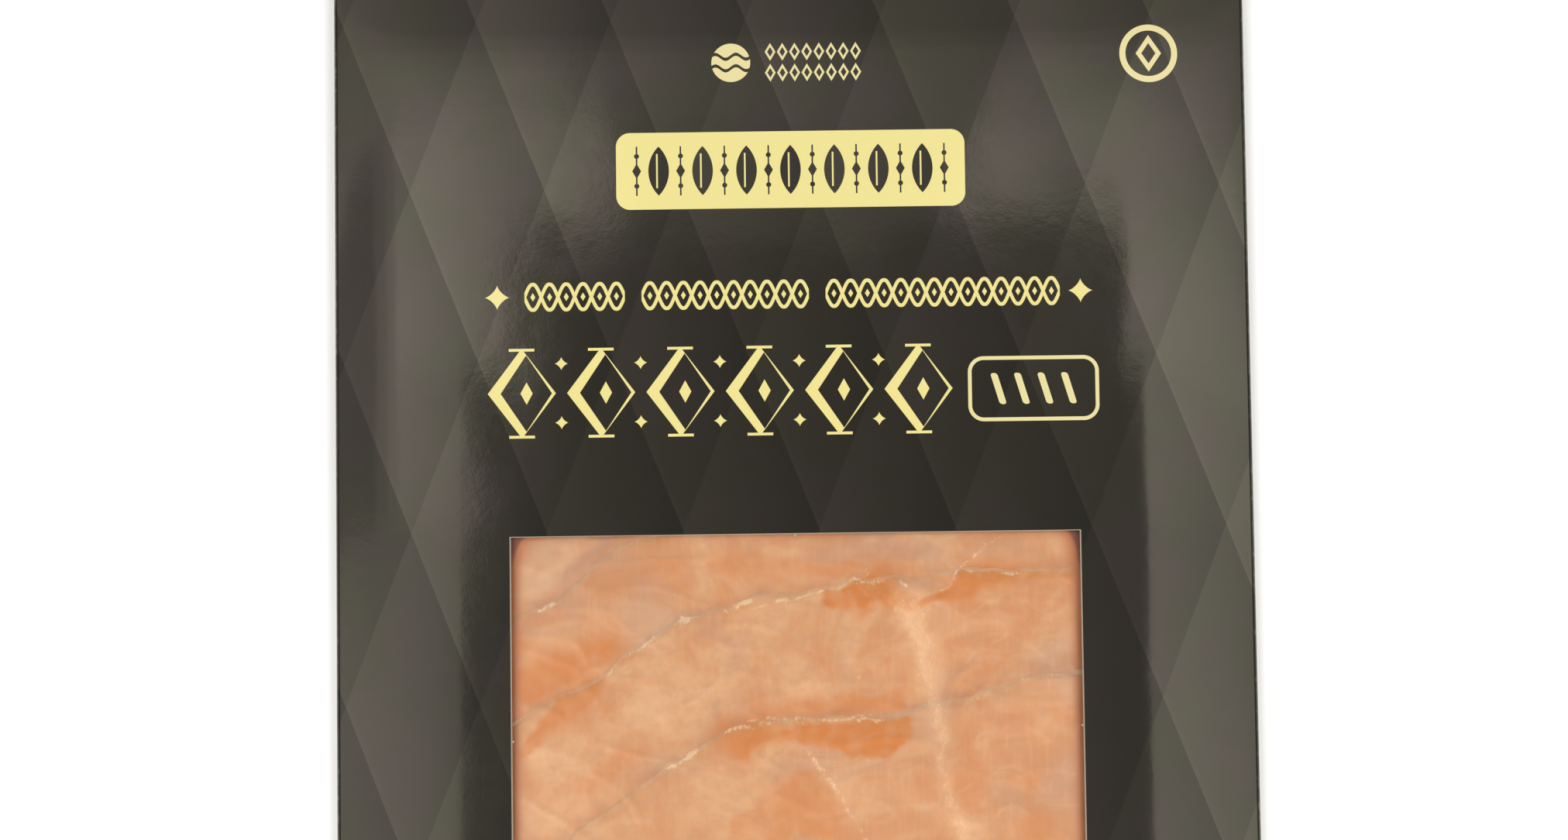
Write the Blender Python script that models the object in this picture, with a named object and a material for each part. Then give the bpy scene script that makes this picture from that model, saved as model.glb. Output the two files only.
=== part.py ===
"""A flat retail pack of sliced smoked salmon.

A folded card sleeve with a die-cut window holds a vacuum pouch. The slices lie shingled in the
pouch, each one's head edge on the slice above it, and show through the window.
Metres. X runs across the pack, +Y towards its head and +Z out of its printed face; Z = 0 is the
face that it rests on.
"""

import math

import bmesh
import bpy

MM = 0.001

# Card sleeve
PACK_WIDTH = 165 * MM
PACK_LENGTH = 254 * MM
CARD = 0.5 * MM
FOLD_RADIUS = 0.8 * MM
FOLD_HEIGHT = 4.2 * MM      # the folded sides and the glued ends
FACE_RISE = 3.4 * MM        # how far the filled front panel stands above its folds
FACE_EASE = 22 * MM         # reached over this distance from a fold
FACE_CROWN = 0.5 * MM       # the last slight arch towards the middle

# Window
WINDOW_WIDTH = 102 * MM
WINDOW_LENGTH = 112 * MM
WINDOW_HEAD = 18.8 * MM     # y of its head edge
WINDOW_CORNER = 0.8 * MM
CORNER_STEPS = 4

# Pouch
GAP = 0.3 * MM              # between pieces that rest on each other
POUCH_WIDTH = 152 * MM
POUCH_LENGTH = 236 * MM
SEAL_THICK = 1.0 * MM
SEAL_WIDTH = 9 * MM
BED_TOP = 2.5 * MM          # where the slices lie
FILLED_TOP = 6.8 * MM       # the filled part behind the printed panel
POUCH_EASE = 4 * MM         # width of the slopes between these levels

# Slices
SLICE_WIDTH = 124 * MM
SLICE_LEVEL = 5.7 * MM      # top of the shingled slices at their sides
SLICE_CROWN = 0.6 * MM      # more in the middle
SLICE_EDGE = 0.8 * MM       # thickness of a slice's head edge
SLICE_REACH = 1.15          # a slice sinks to the bed over this share of the next one's step
SLICE_COLUMNS = 18
SLICE_STEPS = (0, 0.1, 0.22, 0.36, 0.52, 0.7, 0.85, 1)
TAIL_STEPS = 5              # of those steps, the ones that it goes on under the next slice

# Head edge of each slice and the foot of the last, as (x, y) in millimetres from side to side
HEAD_EDGES = (
    ((-62, 34), (0, 36), (62, 38)),
    ((-62, 0), (-43, 8), (-31, 17.5), (0, 24), (62, 27)),
    ((-62, -20), (-37, -6.5), (-22, 3.2), (0, 9), (30, 11.5), (62, 12)),
    ((-62, -49), (-42.6, -35.7), (-21.6, -21.1), (-8, -14.5), (20, -12.8), (36, -8.5), (62, -4)),
    ((-62, -78), (-42, -66), (-15, -52), (10, -45), (35, -43), (62, -36)),
    ((-62, -99), (-40, -92), (-12, -81), (15, -75), (40, -72), (62, -66)),
    ((-62, -107), (0, -108), (62, -106)),
)


def clear_scene():
    for item in list(bpy.data.objects):
        bpy.data.objects.remove(item)


def surface(name, colour, roughness, alpha=1.0):
    """A Principled material."""
    material = bpy.data.materials.new(name)
    material.use_nodes = True
    shader = material.node_tree.nodes["Principled BSDF"]
    shader.inputs["Base Color"].default_value = (*colour, 1)
    shader.inputs["Roughness"].default_value = roughness
    shader.inputs["Metallic"].default_value = 0
    shader.inputs["Alpha"].default_value = alpha
    return material


def smooth(share):
    """0 to 1 with level ends."""
    share = min(max(share, 0), 1)
    return share * share * (3 - 2 * share)


def line_at(points, x):
    """Height at x of the smooth line through points, which run from left to right."""
    last = len(points) - 1
    k = max(i for i in range(last) if points[i][0] <= x or i == 0)
    slopes = []
    for i in (k, k + 1):
        before, after = points[max(i - 1, 0)], points[min(i + 1, last)]
        slopes.append((after[1] - before[1]) / (after[0] - before[0]))
    (x0, y0), (x1, y1) = points[k], points[k + 1]
    width = x1 - x0
    t = (x - x0) / width
    start = y0 * (1 + 2 * t) * (1 - t) ** 2 + slopes[0] * width * t * (1 - t) ** 2
    end = y1 * t * t * (3 - 2 * t) + slopes[1] * width * t * t * (t - 1)
    return start + end


def slab(name, rows, material=None):
    """A closed solid from rows of (x, y, low, high), one row of points behind the other."""
    mesh = bmesh.new()
    lows = [[mesh.verts.new((x, y, low)) for x, y, low, high in row] for row in rows]
    highs = [[mesh.verts.new((x, y, high)) for x, y, low, high in row] for row in rows]
    for j in range(len(rows) - 1):
        for i in range(len(rows[0]) - 1):
            corners = ((j, i), (j, i + 1), (j + 1, i + 1), (j + 1, i))
            for first, second, third in ((0, 1, 2), (0, 2, 3)):
                picked = [corners[first], corners[second], corners[third]]
                mesh.faces.new([highs[a][b] for a, b in picked])
                mesh.faces.new([lows[a][b] for a, b in reversed(picked)])
    rim = [(0, i) for i in range(len(rows[0]))]
    rim += [(j, len(rows[0]) - 1) for j in range(1, len(rows))]
    rim += [(len(rows) - 1, i) for i in range(len(rows[0]) - 2, -1, -1)]
    rim += [(j, 0) for j in range(len(rows) - 2, 0, -1)]
    for here, after in zip(rim, rim[1:] + rim[:1]):
        foot, head = lows[here[0]][here[1]], highs[here[0]][here[1]]
        next_foot, next_head = lows[after[0]][after[1]], highs[after[0]][after[1]]
        mesh.faces.new((foot, next_foot, next_head, head))
    bmesh.ops.recalc_face_normals(mesh, faces=mesh.faces)
    data = bpy.data.meshes.new(name)
    mesh.to_mesh(data)
    mesh.free()
    data.shade_smooth()
    data.set_sharp_from_angle(angle=math.radians(35))
    if material:
        data.materials.append(material)
    item = bpy.data.objects.new(name, data)
    bpy.context.collection.objects.link(item)
    return item


def stations(half, from_edge, inner):
    """Positions from -half to half: given distances from each edge, and evenly spaced within."""
    outer = [d - half for d in from_edge]
    middle = outer[-1]
    between = [middle + (-2 * middle) * k / inner for k in range(1, inner)]
    return outer + between + [-value for value in reversed(outer)]


def subtract(item, cutter):
    """Cut one object with another, which stays as a hidden guide."""
    cutter.hide_render = True
    cutter.display_type = "WIRE"
    cut = item.modifiers.new("cut " + cutter.name, "BOOLEAN")
    cut.operation = "DIFFERENCE"
    cut.solver = "EXACT"
    cut.object = cutter


def panel_height(x, y):
    """Outer face of the front panel, before its folds are rounded."""
    height = FOLD_HEIGHT
    shares = []
    for distance in (PACK_WIDTH / 2 - abs(x), PACK_LENGTH / 2 - abs(y)):
        short = 1 - min(max(distance / FACE_EASE, 0), 1)
        shares.append(1 - short * short)
    height += FACE_RISE * shares[0] * shares[1]
    arch = (1 - (2 * x / PACK_WIDTH) ** 2) * (1 - (2 * y / PACK_LENGTH) ** 2)
    return height + FACE_CROWN * arch


def fold_drop(x, y):
    """How far the rounded folds fall away at a point."""
    insides = []
    for distance in (PACK_WIDTH / 2 - abs(x), PACK_LENGTH / 2 - abs(y)):
        insides.append(max(FOLD_RADIUS - distance, 0))
    left = FOLD_RADIUS ** 2 - insides[0] ** 2 - insides[1] ** 2
    return FOLD_RADIUS - math.sqrt(max(left, 0))


def window_cutter():
    """A prism of the window's rounded outline, from inside the sleeve to above it."""
    mesh = bmesh.new()
    half = WINDOW_WIDTH / 2 - WINDOW_CORNER
    foot = WINDOW_HEAD - WINDOW_LENGTH + WINDOW_CORNER
    centres = (
        (half, WINDOW_HEAD - WINDOW_CORNER),
        (-half, WINDOW_HEAD - WINDOW_CORNER),
        (-half, foot),
        (half, foot),
    )
    ring = []
    for quarter, (x, y) in enumerate(centres):
        for step in range(CORNER_STEPS + 1):
            turn = (quarter + step / CORNER_STEPS) * math.pi / 2
            px = x + WINDOW_CORNER * math.cos(turn)
            py = y + WINDOW_CORNER * math.sin(turn)
            ring.append(mesh.verts.new((px, py, FOLD_HEIGHT / 2)))
    face = mesh.faces.new(ring)
    raised = bmesh.ops.extrude_face_region(mesh, geom=[face])["geom"]
    for part in raised:
        if isinstance(part, bmesh.types.BMVert):
            part.co.z += 3 * (FOLD_HEIGHT + FACE_RISE) - FOLD_HEIGHT
    bmesh.ops.recalc_face_normals(mesh, faces=mesh.faces)
    data = bpy.data.meshes.new("window_cutter")
    mesh.to_mesh(data)
    mesh.free()
    cutter = bpy.data.objects.new("window_cutter", data)
    bpy.context.collection.objects.link(cutter)
    return cutter


def card_sleeve():
    """The folded card: a crowned front panel, sides, ends and a flat back, open at the window."""
    rounding = (0, 0.3 * FOLD_RADIUS, FOLD_RADIUS)
    ease = [share * FACE_EASE for share in (0.15, 0.33, 0.55, 0.8, 1.05)]
    rows = []
    for y in stations(PACK_LENGTH / 2, [*rounding, *ease], 8):
        row = []
        for x in stations(PACK_WIDTH / 2, [*rounding, *ease], 5):
            drop = fold_drop(x, y)
            row.append((x, y, drop, panel_height(x, y) - drop))
        rows.append(row)
    sleeve = slab("card_sleeve", rows, surface("gloss card", (0.035, 0.033, 0.027), 0.25))

    rows = []
    for y in stations(PACK_LENGTH / 2 - CARD, [0, *ease], 8):
        row = []
        for x in stations(PACK_WIDTH / 2 - CARD, [0, *ease], 5):
            row.append((x, y, CARD, panel_height(x, y) - CARD))
        rows.append(row)
    subtract(sleeve, slab("sleeve_inside", rows))
    subtract(sleeve, window_cutter())
    return sleeve


def pouch_height(x, y):
    """Top of the pouch: the seal all round, the bed under the slices, and the filled head."""
    from_seal = min(POUCH_WIDTH / 2 - abs(x), POUCH_LENGTH / 2 - abs(y)) - SEAL_WIDTH
    seal_top = CARD + GAP + SEAL_THICK
    head = HEAD_EDGES[0][-1][1] * MM + GAP
    filled = BED_TOP + (FILLED_TOP - BED_TOP) * smooth((y - head) / POUCH_EASE)
    return seal_top + (filled - seal_top) * smooth(from_seal / POUCH_EASE)


def vacuum_pouch():
    """The sealed pouch: its back, its seal and the filled part that the card hides."""
    seal = [0, SEAL_WIDTH, SEAL_WIDTH + 0.5 * POUCH_EASE, SEAL_WIDTH + POUCH_EASE]
    head = HEAD_EDGES[0][-1][1] * MM + GAP
    lengthways = stations(POUCH_LENGTH / 2, seal, 7)
    lengthways += [head, head + 0.5 * POUCH_EASE, head + POUCH_EASE]
    rows = []
    for y in sorted(lengthways):
        row = []
        for x in stations(POUCH_WIDTH / 2, seal, 6):
            row.append((x, y, CARD + GAP, pouch_height(x, y)))
        rows.append(row)
    return slab("vacuum_pouch", rows, surface("clear film", (0.80, 0.55, 0.42), 0.12))


def slices_level(x, y):
    """The level that the slices' tops keep to, lowest at their sides."""
    head, foot = HEAD_EDGES[0][0][1] * MM, HEAD_EDGES[-1][0][1] * MM
    across = 2 * x / SLICE_WIDTH
    along = (2 * y - head - foot) / (head - foot)
    return SLICE_LEVEL + SLICE_CROWN * (1 - across ** 2) * max(1 - along ** 2, 0)


def under_slice(x, y, step):
    """What a slice rests on, step being 0 at its head edge and 1 at the next one's."""
    level = slices_level(x, y)
    fall = min(step / SLICE_REACH, 1)
    return level + (BED_TOP - level) * math.sin(fall * math.pi / 2)


def salmon_slice(number, material):
    """One slice: in view from its head edge to the next one's, then thinning out under it."""
    columns = [SLICE_WIDTH * (i / SLICE_COLUMNS - 0.5) for i in range(SLICE_COLUMNS + 1)]
    last = len(HEAD_EDGES) - 2
    tail = TAIL_STEPS if number < last else 0
    rows = []
    for zone, steps in enumerate((SLICE_STEPS, SLICE_STEPS[1:tail + 1])):
        for step in steps:
            row = []
            for x in columns:
                near = line_at(HEAD_EDGES[number + zone], x / MM) * MM
                far = line_at(HEAD_EDGES[min(number + zone + 1, last + 1)], x / MM) * MM
                y = near + (far - near) * step
                level = slices_level(x, y)
                if zone == 0:
                    edge = 0 if number == 0 else (SLICE_EDGE + GAP) * (1 - step)
                    low = BED_TOP if number == 0 else under_slice(x, y, step)
                    row.append((x, y, low + GAP, level + edge))
                else:
                    row.append((x, y, BED_TOP + GAP, under_slice(x, y, step)))
            rows.append(row)
    rows.reverse()
    return slab(f"salmon_slice_{number + 1}", rows, material)


def main():
    clear_scene()
    card_sleeve()
    vacuum_pouch()
    flesh = surface("smoked salmon", (0.66, 0.33, 0.17), 0.35)
    for number in range(len(HEAD_EDGES) - 1):
        salmon_slice(number, flesh)


main()
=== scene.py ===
import math

import bpy
import numpy as np
from mathutils import Matrix, Vector, noise


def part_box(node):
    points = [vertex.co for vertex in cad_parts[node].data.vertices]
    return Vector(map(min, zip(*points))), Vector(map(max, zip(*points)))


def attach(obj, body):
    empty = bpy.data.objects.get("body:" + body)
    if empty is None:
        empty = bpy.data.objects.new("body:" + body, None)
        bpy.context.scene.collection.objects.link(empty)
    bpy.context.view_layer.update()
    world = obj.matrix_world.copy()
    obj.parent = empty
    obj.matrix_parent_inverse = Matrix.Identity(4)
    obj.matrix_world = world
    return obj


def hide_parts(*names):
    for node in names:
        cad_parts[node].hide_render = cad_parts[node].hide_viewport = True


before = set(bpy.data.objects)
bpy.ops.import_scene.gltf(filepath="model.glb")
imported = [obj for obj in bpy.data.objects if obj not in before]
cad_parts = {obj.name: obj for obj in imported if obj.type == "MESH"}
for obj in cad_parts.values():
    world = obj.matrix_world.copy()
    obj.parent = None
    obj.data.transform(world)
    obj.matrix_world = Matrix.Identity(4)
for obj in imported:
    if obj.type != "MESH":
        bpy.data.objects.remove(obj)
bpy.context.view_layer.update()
mm = 0.001


# Where the pack is seen from: straight above, a touch askew
view = {
    "target": Vector((-1.75, 39.2, 6)) * mm,
    "width": 281.3 * mm,   # what the frame spans there
    "distance": 0.62,
    "lean": 4.0,           # degrees towards the pack's foot
    "roll": -0.75,         # degrees
    "film": 36,            # the sensor's width
    "clip": 0.01,
}


def addCamera():
    lens = bpy.data.cameras.new("camera")
    lens.sensor_width = view["film"]
    lens.lens = view["film"] * view["distance"] / view["width"]
    lens.clip_start = view["clip"]
    camera = bpy.data.objects.new("camera", lens)
    bpy.context.scene.collection.objects.link(camera)
    turn = Matrix.Rotation(math.radians(view["roll"]), 4, "Z")
    turn = turn @ Matrix.Rotation(math.radians(view["lean"]), 4, "X")
    back = Matrix.Translation((0, 0, view["distance"]))
    camera.matrix_world = Matrix.Translation(view["target"]) @ turn @ back
    bpy.context.scene.camera = camera


# Softboxes overhead in rows, from the pack's foot to its head. The laminate mirrors the gap between
# the left and right ones, which closes towards the head.
lighting = {
    "height": 1.0,
    # each row: its low and high y, where each side starts and ends, and the radiance of its left
    # side, its right side and its middle
    "rows": (
        ((-1.300, -0.165), (0.175, 1.42), (0.250, 1.42), (4.1, 4.2, 0)),
        ((-0.165, 0.065), (0.175, 1.42), (0.250, 1.42), (1.4, 1.7, 0)),
        ((0.065, 0.135), (0.170, 0.52), (0.250, 1.42), (1.9, 2.0, 0)),
        ((0.135, 0.205), (0.135, 0.52), (0.180, 1.42), (2.4, 2.4, 0)),
        ((0.205, 0.260), (0.090, 0.52), (0.090, 1.42), (2.2, 2.0, 0.5)),
        ((0.065, 0.260), (0.520, 0.58), (0, 0), (1.5, 0, 0)),
        ((0.065, 0.260), (0.580, 0.66), (0, 0), (1.0, 0, 0)),
        ((0.065, 0.260), (0.660, 1.42), (0, 0), (0.5, 0, 0)),
        ((0.260, 0.295), (0.100, 1.42), (0.100, 1.42), (1.45, 1.35, 0.75)),
        ((0.295, 0.345), (0.100, 1.42), (0.100, 1.42), (1.15, 1.1, 0.7)),
        ((0.345, 0.415), (0.100, 1.42), (0.100, 1.42), (0.9, 0.85, 0.5)),
        ((0.415, 1.200), (0.100, 1.42), (0.100, 1.42), (0.65, 0.65, 0.35)),
    ),
    "surroundings": (1.0, 0.96, 0.84, 1),
    "surroundingsStrength": 0.33,
}


def addSoftbox(name, low, high, radiance):
    lamp = bpy.data.lights.new(name, "AREA")
    lamp.shape = "RECTANGLE"
    lamp.size, lamp.size_y = high[0] - low[0], high[1] - low[1]
    lamp.energy = radiance * math.pi * lamp.size * lamp.size_y
    item = bpy.data.objects.new(name, lamp)
    item.location = (low[0] + high[0]) / 2, (low[1] + high[1]) / 2, lighting["height"]
    bpy.context.scene.collection.objects.link(item)


def addLights():
    for row, (depth, left, right, radiances) in enumerate(lighting["rows"]):
        spans = (-left[1], -left[0]), (right[0], right[1]), (-left[0], right[0])
        for side, span, radiance in zip(("left", "right", "middle"), spans, radiances):
            if radiance:
                low, high = (span[0], depth[0]), (span[1], depth[1])
                addSoftbox(f"{side}_softbox_{row + 1}", low, high, radiance)
    world = bpy.data.worlds.new("surroundings")
    world.use_nodes = True
    back = world.node_tree.nodes["Background"]
    back.inputs["Color"].default_value = lighting["surroundings"]
    back.inputs["Strength"].default_value = lighting["surroundingsStrength"]
    bpy.context.scene.world = world
    bpy.context.scene.view_settings.view_transform = "Standard"


addCamera()
addLights()
print("camera and lights set")


# A Wire is a shader socket: an expression on Wires adds its Math nodes
class Wire:
    def __init__(self, tree, socket=None):
        self.tree = tree
        self.socket = socket

    def node(self, kind, settings=None, inputs=None, output=0):
        made = self.tree.nodes.new(kind)
        for name, value in (settings or {}).items():
            setattr(made, name, value)
        for name, value in (inputs or {}).items():
            if isinstance(value, Wire):
                self.tree.links.new(value.socket, made.inputs[name])
            else:
                made.inputs[name].default_value = value
        return Wire(self.tree, made.outputs[output])

    def outputs(self):
        return [Wire(self.tree, socket) for socket in self.socket.node.outputs]

    def math(self, operation, *values):
        return self.node("ShaderNodeMath", {"operation": operation}, dict(enumerate(values)))

    def __add__(self, other):
        return self.math("ADD", self, other)

    def __sub__(self, other):
        return self.math("SUBTRACT", self, other)

    def __rsub__(self, other):
        return self.math("SUBTRACT", other, self)

    def __mul__(self, other):
        return self.math("MULTIPLY", self, other)

    def __truediv__(self, other):
        return self.math("DIVIDE", self, other)

    def __pow__(self, other):
        return self.math("POWER", self, other)

    def __mod__(self, other):
        return self.math("FLOORED_MODULO", self, other)

    def __abs__(self):
        return self.math("ABSOLUTE", self)

    __radd__ = __add__
    __rmul__ = __mul__

    def sine(self):
        return self.math("SINE", self)

    def least(self, other):
        return self.math("MINIMUM", self, other)

    def most(self, other):
        return self.math("MAXIMUM", self, other)

    def between(self, low, high):  # 0 at low, 1 at high, with soft ends
        inputs = {"Value": self, "From Min": low, "From Max": high}
        return self.node("ShaderNodeMapRange", {"interpolation_type": "SMOOTHSTEP"}, inputs)

    def blend(self, below, above):  # as a mask, lays one colour over another
        inputs = {0: self, 6: below, 7: above}
        return self.node("ShaderNodeMix", {"data_type": "RGBA"}, inputs, 2)

    def stretched(self, *scale):
        return self.node("ShaderNodeMapping", None, {"Vector": self, "Scale": scale})

    def grain(self, scale, detail=3, roughness=0.5, distortion=0):  # noise at places
        inputs = {"Vector": self, "Scale": scale, "Detail": detail}
        inputs.update({"Roughness": roughness, "Distortion": distortion})
        return self.node("ShaderNodeTexNoise", None, inputs)

    def attribute(self, name):
        return self.node("ShaderNodeAttribute", {"attribute_name": name}, None, "Fac")


class Finish:
    # a Principled material: its places as wires, and what feeds its shader
    def __init__(self, name, **uniform):
        self.material = bpy.data.materials.new(name)
        self.material.use_nodes = True
        self.tree = self.material.node_tree
        self.shader = self.tree.nodes["Principled BSDF"]
        for socket, value in uniform.items():
            self.shader.inputs[socket.replace("_", " ")].default_value = value
        self.start = Wire(self.tree)
        self.places = self.start.node("ShaderNodeTexCoord", None, None, "Object")
        split = self.start.node("ShaderNodeSeparateXYZ", None, {0: self.places})
        self.x, self.y, self.z = [axis / mm for axis in split.outputs()]

    def feed(self, **wires):
        for socket, wire in wires.items():
            self.tree.links.new(wire.socket, self.shader.inputs[socket.replace("_", " ")])

    def bump(self, height):  # height in millimetres
        inputs = {"Height": height, "Distance": mm, "Strength": 1.0}
        self.feed(Normal=self.start.node("ShaderNodeBump", None, inputs))


def spread(marks, step):
    # places through all the marks, no further apart than step
    places = [marks[0]]
    for start, end in zip(marks, marks[1:]):
        count = max(1, math.ceil((end - start) / step - 1e-6))
        places += [start + (end - start) * k / count for k in range(1, count + 1)]
    return np.array(places)


def fineBetween(low, start, end, high, steps):
    # coarse places as far as start, fine ones up to end, then coarse ones again
    fine, coarse = steps
    before, after = spread([low, start], coarse)[:-1], spread([end, high], coarse)[1:]
    return np.concatenate([before, spread([start, end], fine), after])


def smooth(share):
    share = np.clip(share, 0, 1)
    return share * share * (3 - 2 * share)


def ripples(x, y, size, seed):
    # smooth noise, about -1 to 1, over arrays of places; size is its grain
    flat = zip(np.ravel(x) / size, np.ravel(y) / size)
    return np.array([noise.noise((a, b, seed)) for a, b in flat]).reshape(np.shape(x)) * 1.6


def patches(x, y, size, seed, middle, gain):
    # soft patches from 0 to 1; a higher middle covers more
    return np.clip(middle + gain * ripples(x, y, size, seed), 0, 1)


def newPiece(name, verts, faces, finishes, sides=None, angle=35):
    data = bpy.data.meshes.new(name)
    data.from_pydata(np.asarray(verts).tolist(), [], faces)
    for finish in finishes:
        data.materials.append(finish.material)
    if sides is not None:
        data.polygons.foreach_set("material_index", sides)
    data.shade_smooth()
    data.set_sharp_from_angle(angle=math.radians(angle))
    item = bpy.data.objects.new(name, data)
    bpy.context.scene.collection.objects.link(item)
    return item


def around(foot, head, left, right):
    # the (row, column) of each point on the outline of a part of a grid
    ring = [(foot, i) for i in range(left, right)] + [(j, right) for j in range(foot, head)]
    ring += [(head, i) for i in range(right, left, -1)]
    return ring + [(j, left) for j in range(head, foot, -1)]


def grid(rows, columns, start=0, flip=False):
    # the quads of a grid of points laid row after row
    faces = []
    for j in range(rows - 1):
        for i in range(columns - 1):
            a = start + j * columns + i
            face = (a, a + 1, a + columns + 1, a + columns)
            faces.append(face[::-1] if flip else face)
    return faces


# The folded card
sleeve = {
    "thick": 0.5 * mm,
    "foldRadius": 0.8 * mm,
    "foldSteps": (0, 30, 52, 72, 90),
    "foldHeight": 4.2 * mm,
    "rise": 3.4 * mm,         # of the filled front panel
    "ease": 22 * mm,
    "crown": 0.5 * mm,
    "step": 3 * mm,
    "waviness": 0.05 * mm,    # the front panel isn't quite flat
    "waveSize": 34 * mm,
    "waveEase": 12 * mm,      # and is flat at its folds
    "cutBevels": (0.2 * mm, 0.12 * mm),   # the die presses the window's sides and ends down
    "cutDrop": 0.14 * mm,
    "seamAt": 58 * mm,        # the back's outer flap ends here
    "seamDeep": 0.28 * mm,
    "seamCut": 0.12 * mm,
    "seamEase": 7 * mm,
    "flapEnd": 1.35 * mm,     # height at which the end flaps are cut
    "flapGroove": 0.25 * mm,
    "flapLap": 0.02 * mm,
    "sharpFrom": 28,          # degrees
}
window = {
    "width": 102 * mm,
    "length": 112 * mm,
    "head": 18.8 * mm,
    "margin": 2 * mm,         # the film and slices stay fine so far behind the card
}
window["foot"] = window["head"] - window["length"]
halfWidth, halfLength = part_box("card_sleeve")[1][:2]


def panelHeight(x, y):
    shares = []
    for distance in (halfWidth - np.abs(x), halfLength - np.abs(y)):
        short = 1 - np.clip(distance / sleeve["ease"], 0, 1)
        shares.append(1 - short * short)
    arch = (1 - (x / halfWidth) ** 2) * (1 - (y / halfLength) ** 2)
    return sleeve["foldHeight"] + sleeve["rise"] * shares[0] * shares[1] + sleeve["crown"] * arch


def foldDrop(x, y):
    radius = sleeve["foldRadius"]
    inX = np.maximum(radius - (halfWidth - np.abs(x)), 0)
    inY = np.maximum(radius - (halfLength - np.abs(y)), 0)
    return radius - np.sqrt(np.maximum(radius ** 2 - inX ** 2 - inY ** 2, 0))


def sleeveLines(half, edges, bevel, extra):
    # lines across the card outside and inside, and which of them edge the window
    radius, thick = sleeve["foldRadius"], sleeve["thick"]
    folds = [half - radius * (1 - math.cos(math.radians(a))) for a in sleeve["foldSteps"]]
    marks = sorted([-place for place in folds] + folds + [*edges, *extra])
    outside = spread(marks, sleeve["step"])
    inside = outside.copy()
    depth = half - np.abs(outside)
    rim = depth < radius
    inset = thick + depth[rim] * (radius - thick) / radius
    inside[rim] = np.sign(outside[rim]) * (half - inset)
    at = [int(np.argmin(np.abs(outside - edge))) for edge in edges]
    inside[at] = edges[0] + bevel, edges[1] - bevel
    return outside, inside, at


def makeSleeve(finishes):
    halfWindow = window["width"] / 2
    seam = sleeve["seamAt"]
    seamLines = [seam, seam + sleeve["seamCut"], seam + sleeve["seamEase"]]
    across, along = sleeve["cutBevels"]
    xOut, xIn, cutX = sleeveLines(halfWidth, (-halfWindow, halfWindow), across, seamLines)
    yOut, yIn, cutY = sleeveLines(halfLength, (window["foot"], window["head"]), along, [])
    columns, rows = len(xOut), len(yOut)
    outX, outY = np.meshgrid(xOut, yOut)
    inX, inY = np.meshgrid(xIn, yIn)
    nearFold = np.minimum(halfWidth - np.abs(outX), halfLength - np.abs(outY))
    wavy = ripples(outX, outY, sleeve["waveSize"], 3.1)
    wavy += 0.35 * ripples(outX, outY, sleeve["waveSize"] / 3, 7.7)
    wavy *= sleeve["waviness"] * smooth(nearFold / sleeve["waveEase"])
    drop = foldDrop(outX, outY)
    topOut = panelHeight(outX, outY) - drop + wavy
    topIn = panelHeight(inX, inY) + wavy - sleeve["thick"]
    pastSeam = (outX - seam) / sleeve["seamEase"]
    seamDip = smooth((outX - seam) / sleeve["seamCut"]) * (1 - smooth(pastSeam))
    seamDip = seamDip * sleeve["seamDeep"]
    backOut = drop + seamDip
    backIn = np.full_like(topIn, sleeve["thick"] + sleeve["seamDeep"])
    layers = [(outX, outY, topOut), (inX, inY, topIn), (outX, outY, backOut), (inX, inY, backIn)]
    verts = [np.stack([a.ravel(), b.ravel(), c.ravel()], axis=1) for a, b, c in layers]
    count = rows * columns
    faces, sides = [], []

    def at(layer, place):
        return layer * count + place[0] * columns + place[1]

    def add(side, *corners):
        faces.append(corners)
        sides.append(side)

    for j in range(rows - 1):
        for i in range(columns - 1):
            square = [(j, i), (j, i + 1), (j + 1, i + 1), (j + 1, i)]
            if not (cutX[0] <= i < cutX[1] and cutY[0] <= j < cutY[1]):
                add(0, *[at(0, place) for place in square])
                add(1, *[at(1, place) for place in reversed(square)])
            add(0, *[at(2, place) for place in reversed(square)])
            add(1, *[at(3, place) for place in square])

    # the walls, each with the line where its outer flap is cut
    rim = around(0, rows - 1, 0, columns - 1)
    levels = [sleeve["flapEnd"] - sleeve["flapGroove"], sleeve["flapEnd"], sleeve["flapEnd"]]
    first = 4 * count
    walls = []
    for place in rim:
        x, y = xOut[place[1]], yOut[place[0]]
        isEnd = place[0] in (0, rows - 1) and 0 < place[1] < columns - 1
        for k, z in enumerate(levels):
            inset = sleeve["flapGroove"] if isEnd and k < 2 else 0
            lap = sleeve["flapLap"] * (k == 2)
            walls.append((x, y - math.copysign(inset, y), z + lap))
    verts.append(np.array(walls))
    for k in range(len(rim)):
        here, after = rim[k], rim[(k + 1) % len(rim)]
        low, nextLow = first + 3 * k, first + 3 * ((k + 1) % len(rim))
        add(0, at(2, here), at(2, after), nextLow, low)
        add(1, low, nextLow, nextLow + 1, low + 1)
        add(1, low + 1, nextLow + 1, nextLow + 2, low + 2)
        add(0, low + 2, nextLow + 2, at(0, after), at(0, here))
        add(1, at(1, here), at(1, after), at(3, after), at(3, here))

    # the window's cut edge: a pressed bevel, then the board's thickness
    ring = around(*cutY, *cutX)
    first += len(walls)
    lips = [(xIn[i], yIn[j], topOut[j, i] - sleeve["cutDrop"]) for j, i in ring]
    verts.append(np.array(lips))
    for k in range(len(ring)):
        here, after = ring[k], ring[(k + 1) % len(ring)]
        lip, nextLip = first + k, first + (k + 1) % len(ring)
        add(1, at(0, here), at(0, after), nextLip, lip)
        add(1, lip, nextLip, at(1, after), at(1, here))
    verts = np.concatenate(verts)
    return newPiece("printed_sleeve", verts, faces, finishes, sides, sleeve["sharpFrom"])


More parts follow.
